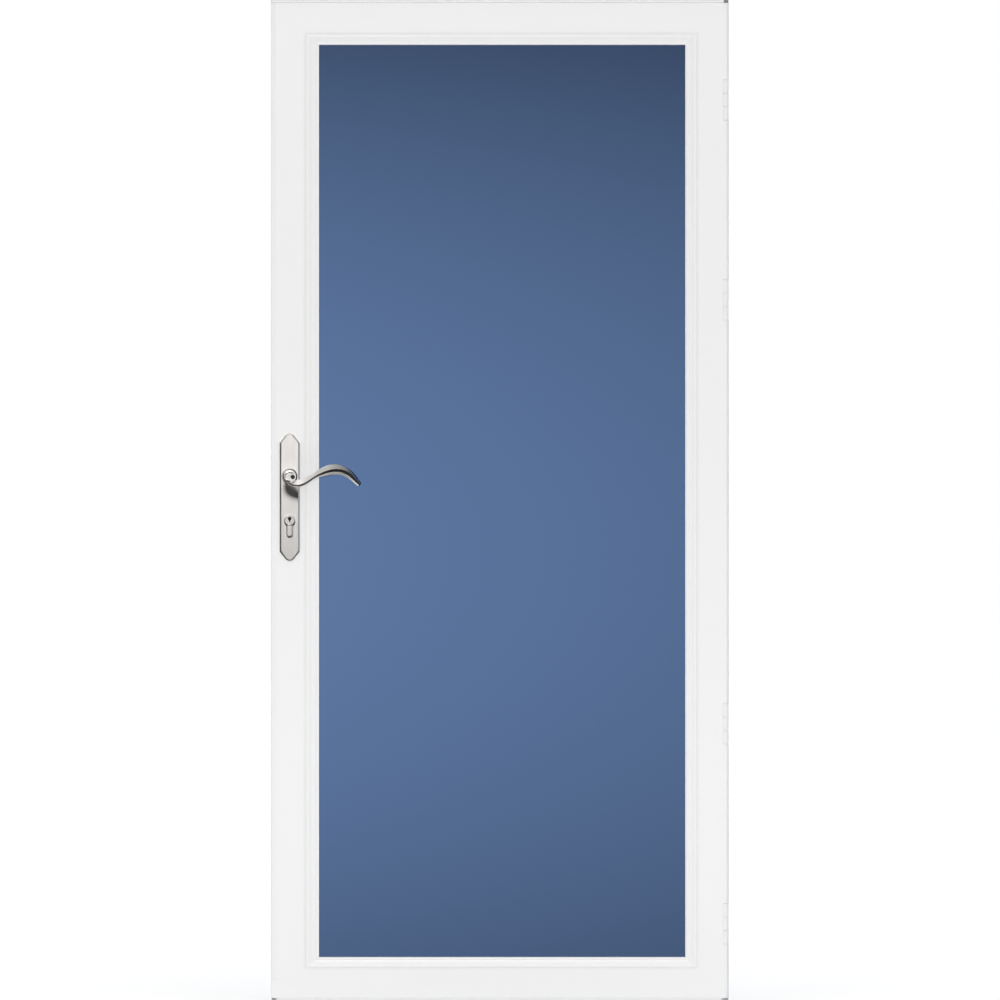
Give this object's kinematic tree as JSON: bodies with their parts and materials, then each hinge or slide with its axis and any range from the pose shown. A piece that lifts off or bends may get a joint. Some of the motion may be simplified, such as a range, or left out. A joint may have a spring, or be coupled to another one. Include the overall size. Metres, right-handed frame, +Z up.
{
  "type": "aluminium storm door",
  "caption": "Full-view outer door of white aluminium bars round one tall blue-tinted pane, hinged in a slim frame with lever handles and a key lock.",
  "frame": {"origin": "on the hinge jamb's outer mounting face at its foot, level with the sill and mid-depth of the leaf", "axes": "+Z up, +Y from outside to inside through the door, +X from latch side to hinge side"},
  "size_m": [0.914, 0.151, 2.032],
  "materials": {
    "white_paint": "white baked enamel on aluminium extrusion",
    "glass": "tempered sheet, blue cast",
    "satin_nickel": "satin nickel plate",
    "plain_steel": "zinc plated steel",
    "pin_steel": "stainless pin",
    "pile_seal": "grey woven pile",
    "clear_vinyl": "pale flexible vinyl"
  },
  "bodies": {
    "frame": {"hinge_jamb": "white_paint", "latch_jamb": "white_paint", "head_jamb": "white_paint", "latch_seal": "pile_seal", "hinge_seal": "pile_seal", "head_seal": "pile_seal", "hinge_pins": "pin_steel", "strike_plate": "plain_steel", "hinge_1_frame_leaf": "white_paint", "hinge_2_frame_leaf": "white_paint", "hinge_3_frame_leaf": "white_paint", "hinge_4_frame_leaf": "white_paint"},
    "leaf": {"latch_stile": "white_paint", "hinge_stile": "white_paint", "bottom_rail": "white_paint", "top_rail": "white_paint", "glass_pane": "glass", "bottom_expander": "white_paint", "bottom_sweep": "clear_vinyl", "outside_escutcheon": "satin_nickel", "inside_escutcheon": "satin_nickel", "key_cylinder": "satin_nickel", "thumb_turn": "satin_nickel", "latch_plate": "plain_steel", "latch_bolt": "plain_steel", "dead_bolt": "plain_steel", "bead_latch": "white_paint", "bead_hinge": "white_paint", "bead_bottom": "white_paint", "bead_top": "white_paint", "retainer_latch": "white_paint", "retainer_hinge": "white_paint", "retainer_bottom": "white_paint", "retainer_top": "white_paint", "gasket_latch": "clear_vinyl", "gasket_hinge": "clear_vinyl", "gasket_bottom": "clear_vinyl", "gasket_top": "clear_vinyl", "hinge_1_door_leaf": "white_paint", "hinge_2_door_leaf": "white_paint", "hinge_3_door_leaf": "white_paint", "hinge_4_door_leaf": "white_paint"},
    "lever": {"outside_lever": "satin_nickel", "inside_lever": "satin_nickel", "spindle": "plain_steel"}
  },
  "joints": [
    {"name": "door_swing", "type": "hinge", "parent": "frame", "child": "leaf", "pos_m": [-0.008, -0.013, 0], "axis": [0, 0, 1], "range_deg": [0, 110]},
    {"name": "lever_turn", "type": "hinge", "parent": "leaf", "child": "lever", "pos_m": [-0.8765, 0, 1.055], "axis": [0, 1, 0], "range_deg": [0, 40], "stiffness_Nm_per_rad": 1.2, "springref_deg": -28.65}
  ]
}
